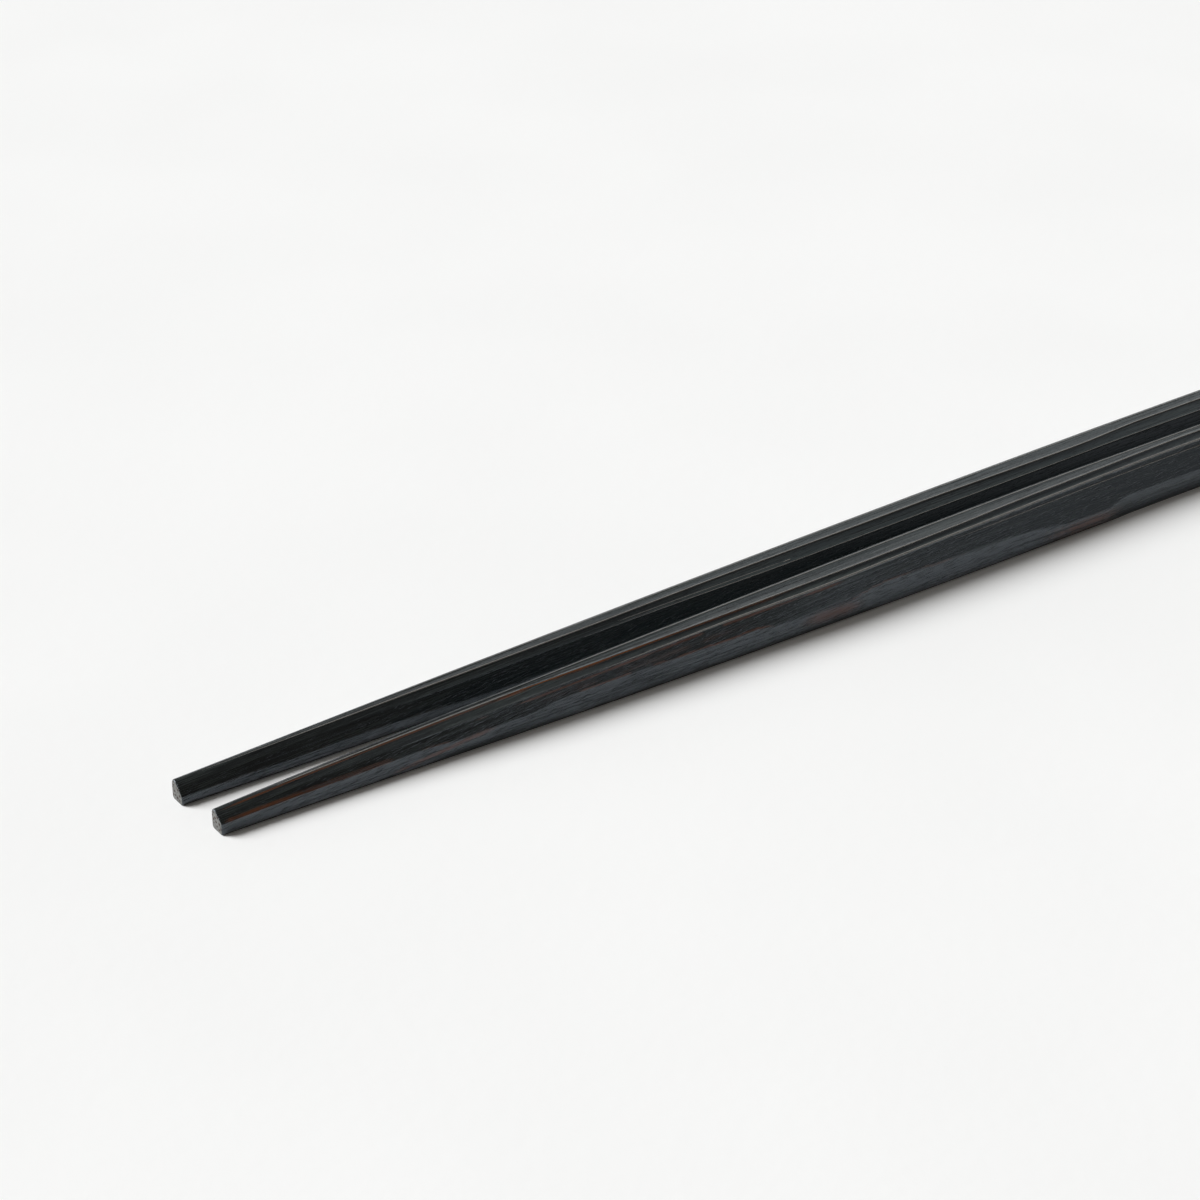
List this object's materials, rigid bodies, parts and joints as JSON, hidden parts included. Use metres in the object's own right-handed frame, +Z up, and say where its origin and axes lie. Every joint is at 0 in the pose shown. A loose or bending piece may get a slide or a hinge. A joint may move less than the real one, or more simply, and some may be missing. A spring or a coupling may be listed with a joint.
{
  "type": "pair of bamboo chopsticks",
  "caption": "Pair of slim tapered bamboo chopsticks with hand-shaved facets and a worn black lacquer finish, lying side by side.",
  "frame": {"origin": "on the table, under the middle of the pair's bounding box", "axes": "+X along the sticks from their thin tips to their thick heads, +Y from the front stick to the rear one, +Z up from the table"},
  "size_m": [0.2308, 0.0152, 0.0067],
  "materials": {
    "lacquered_bamboo": "satin black lacquer, worn to reddish brown along the edges"
  },
  "bodies": {
    "root": {"front_chopstick": "lacquered_bamboo", "rear_chopstick": "lacquered_bamboo"}
  },
  "joints": []
}
